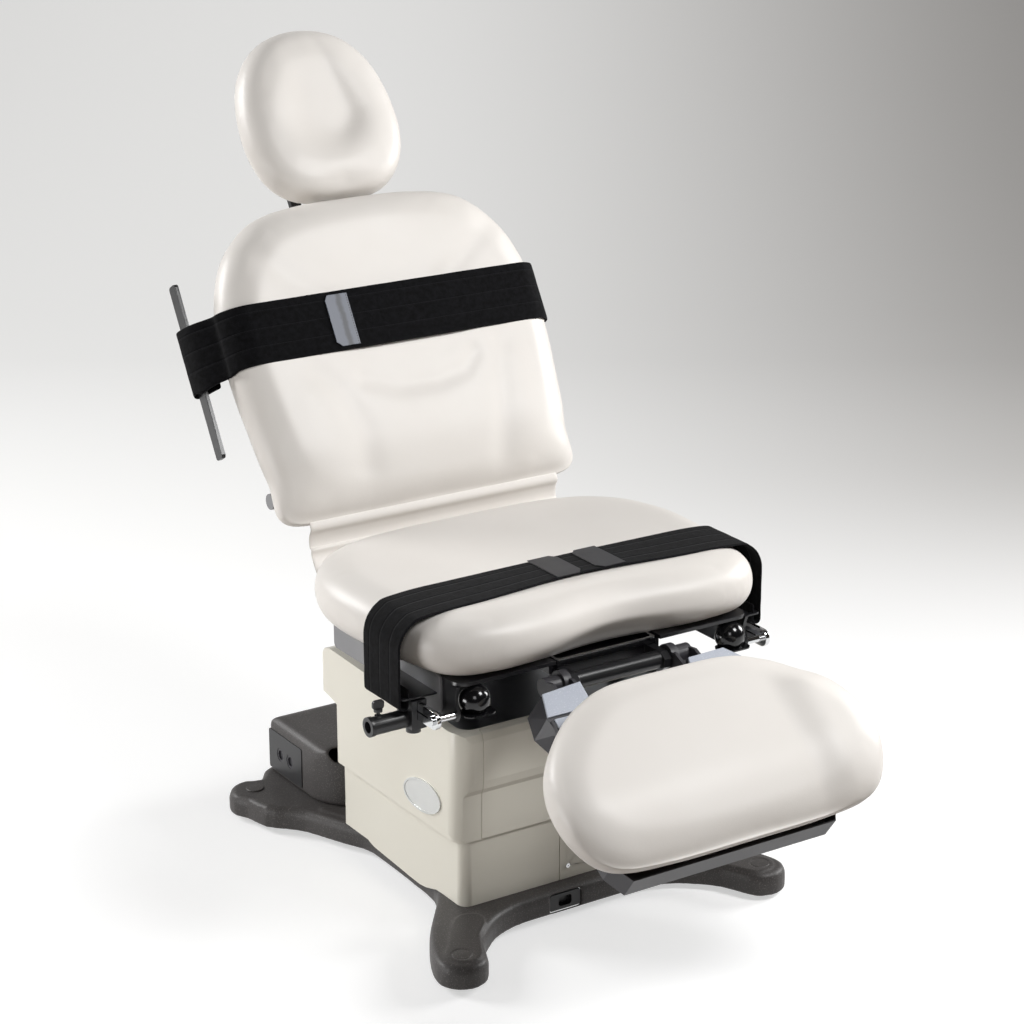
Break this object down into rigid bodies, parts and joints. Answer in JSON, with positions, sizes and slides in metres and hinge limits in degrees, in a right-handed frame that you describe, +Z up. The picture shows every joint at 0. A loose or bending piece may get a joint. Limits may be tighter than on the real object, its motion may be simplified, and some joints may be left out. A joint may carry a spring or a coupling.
{
  "type": "procedure chair",
  "caption": "Powered medical procedure chair with a telescoping lift, tilting seat, reclining back, head and foot sections, body straps, side rails, pan and stirrups.",
  "frame": {"origin": "floor level, at the middle of the four feet", "axes": "+Z up, -Y towards the foot section, +X to the patient's left"},
  "size_m": [0.7613, 1.4298, 1.3612],
  "materials": {
    "upholstery": "soft matt vinyl",
    "shroud": "semi-gloss moulded cream",
    "base_plastic": "fine textured",
    "black_plastic": "gloss black",
    "black_steel": "semi-gloss powder coat",
    "charcoal_steel": "textured powder coat",
    "grey_plastic": "satin mid grey",
    "arm_plastic": "textured light blue-grey",
    "strap": "brushed loop webbing",
    "slide_plastic": "translucent grey slide",
    "bright_steel": "polished",
    "shaft_steel": "ground",
    "column": "anodised",
    "chassis_steel": "black primer",
    "pad_rubber": "tan rubber",
    "plywood": "birch plywood",
    "badge": "plain satin plate",
    "motor": "satin black"
  },
  "bodies": {
    "base": {"base_cover": "base_plastic", "base_frame": "chassis_steel", "levelling_feet": "pad_rubber", "leg_caps": "base_plastic", "foot_control_socket": "base_plastic", "electronics_housing": "base_plastic", "power_supply": "motor", "outlet_plate": "black_plastic", "outlets": "black_plastic", "lower_shroud_left": "shroud", "lower_shroud_right": "shroud", "shroud_screws": "bright_steel", "lift_column_base": "column", "lift_motor": "motor"},
    "lift_stage_two": {"middle_shroud_outer": "shroud", "lift_column_second": "column"},
    "lift_stage_three": {"middle_shroud_inner": "shroud", "lift_column_third": "column"},
    "carriage": {"upper_shroud": "shroud", "front_panel": "shroud", "badge_plate": "badge", "lift_column_top": "column", "tilt_bracket": "black_steel", "tilt_motor": "motor", "rest_bumpers": "pad_rubber"},
    "seat": {"seat_frame": "black_steel", "tilt_shaft": "shaft_steel", "side_skirts": "grey_plastic", "seat_board": "plywood", "seat_cushion": "upholstery", "hinge_cloth": "upholstery", "recline_shaft": "shaft_steel", "foot_hinge_tube": "black_steel", "accessory_rails": "bright_steel", "rail_standoffs": "bright_steel", "strap_anchors": "black_steel", "seat_strap": "strap", "stirrup_sleeves": "black_steel"},
    "clamp": {"rail_clamp": "black_plastic"},
    "clamp_knob": {"clamp_screw": "black_plastic"},
    "debris_pan": {"pan": "black_plastic", "pan_rim": "bright_steel"},
    "stirrup_left": {"stirrup_left": "black_plastic"},
    "stirrup_right": {"stirrup_right": "black_plastic"},
    "back": {"back_arms": "black_steel", "back_board": "black_plastic", "back_shell": "black_plastic", "back_cushion": "upholstery", "cross_tube": "grey_plastic", "side_bars": "black_steel", "chest_strap": "strap", "strap_slide": "slide_plastic"},
    "head_slide": {"head_post": "black_steel"},
    "head": {"head_bracket": "black_steel", "head_cushion": "upholstery"},
    "foot_section": {"foot_arms": "charcoal_steel", "arm_covers": "arm_plastic"},
    "foot_rest": {"foot_tray": "charcoal_steel", "foot_board": "plywood", "foot_cushion": "upholstery"}
  },
  "joints": [
    {"name": "lift", "type": "slide", "parent": "base", "child": "carriage", "axis": [0, 0, 1], "range_m": [-0.06, 0.42]},
    {"name": "stage_two_slide", "type": "slide", "parent": "base", "child": "lift_stage_two", "axis": [0, 0, 1], "range_m": [-0.02, 0.14]},
    {"name": "stage_three_slide", "type": "slide", "parent": "base", "child": "lift_stage_three", "axis": [0, 0, 1], "range_m": [-0.04, 0.28]},
    {"name": "tilt", "type": "hinge", "parent": "carriage", "child": "seat", "pos_m": [0, 0.11, 0.44], "axis": [-1, 0, 0], "range_deg": [0, 30]},
    {"name": "recline", "type": "hinge", "parent": "seat", "child": "back", "pos_m": [0, 0.191, 0.501], "axis": [-1, 0, 0], "range_deg": [-24, 59], "deforming": ["hinge_cloth"]},
    {"name": "head_height", "type": "slide", "parent": "back", "child": "head_slide", "axis": [0, 0.515, 0.8572], "range_m": [0, 0.11]},
    {"name": "head_tilt", "type": "hinge", "parent": "head_slide", "child": "head", "pos_m": [0, 0.63909, 1.14994], "axis": [-1, 0, 0], "range_deg": [-18, 40]},
    {"name": "foot_fold", "type": "hinge", "parent": "seat", "child": "foot_section", "pos_m": [0, -0.363, 0.473], "axis": [-1, 0, 0], "range_deg": [-50, 36]},
    {"name": "foot_extension", "type": "slide", "parent": "foot_section", "child": "foot_rest", "axis": [0, -0.809, -0.5878], "range_m": [0, 0.12]},
    {"name": "pan_slide", "type": "slide", "parent": "seat", "child": "debris_pan", "axis": [0, -1, 0], "range_m": [0, 0.13]},
    {"name": "stirrup_left_slide", "type": "slide", "parent": "seat", "child": "stirrup_left", "axis": [0, -1, 0], "range_m": [0, 0.12]},
    {"name": "stirrup_right_slide", "type": "slide", "parent": "seat", "child": "stirrup_right", "axis": [0, -1, 0], "range_m": [0, 0.12]},
    {"name": "clamp_slide", "type": "slide", "parent": "seat", "child": "clamp", "axis": [0, 1, 0], "range_m": [-0.035, 0.02]},
    {"name": "clamp_screw_turn", "type": "hinge", "parent": "clamp", "child": "clamp_knob", "pos_m": [-0.385, -0.263, 0.45], "axis": [0, 0, 1], "continuous": true}
  ],
  "couplings": [
    {"joint": "stage_two_slide", "follows": "lift", "ratio": 0.33333},
    {"joint": "stage_three_slide", "follows": "lift", "ratio": 0.66667}
  ]
}
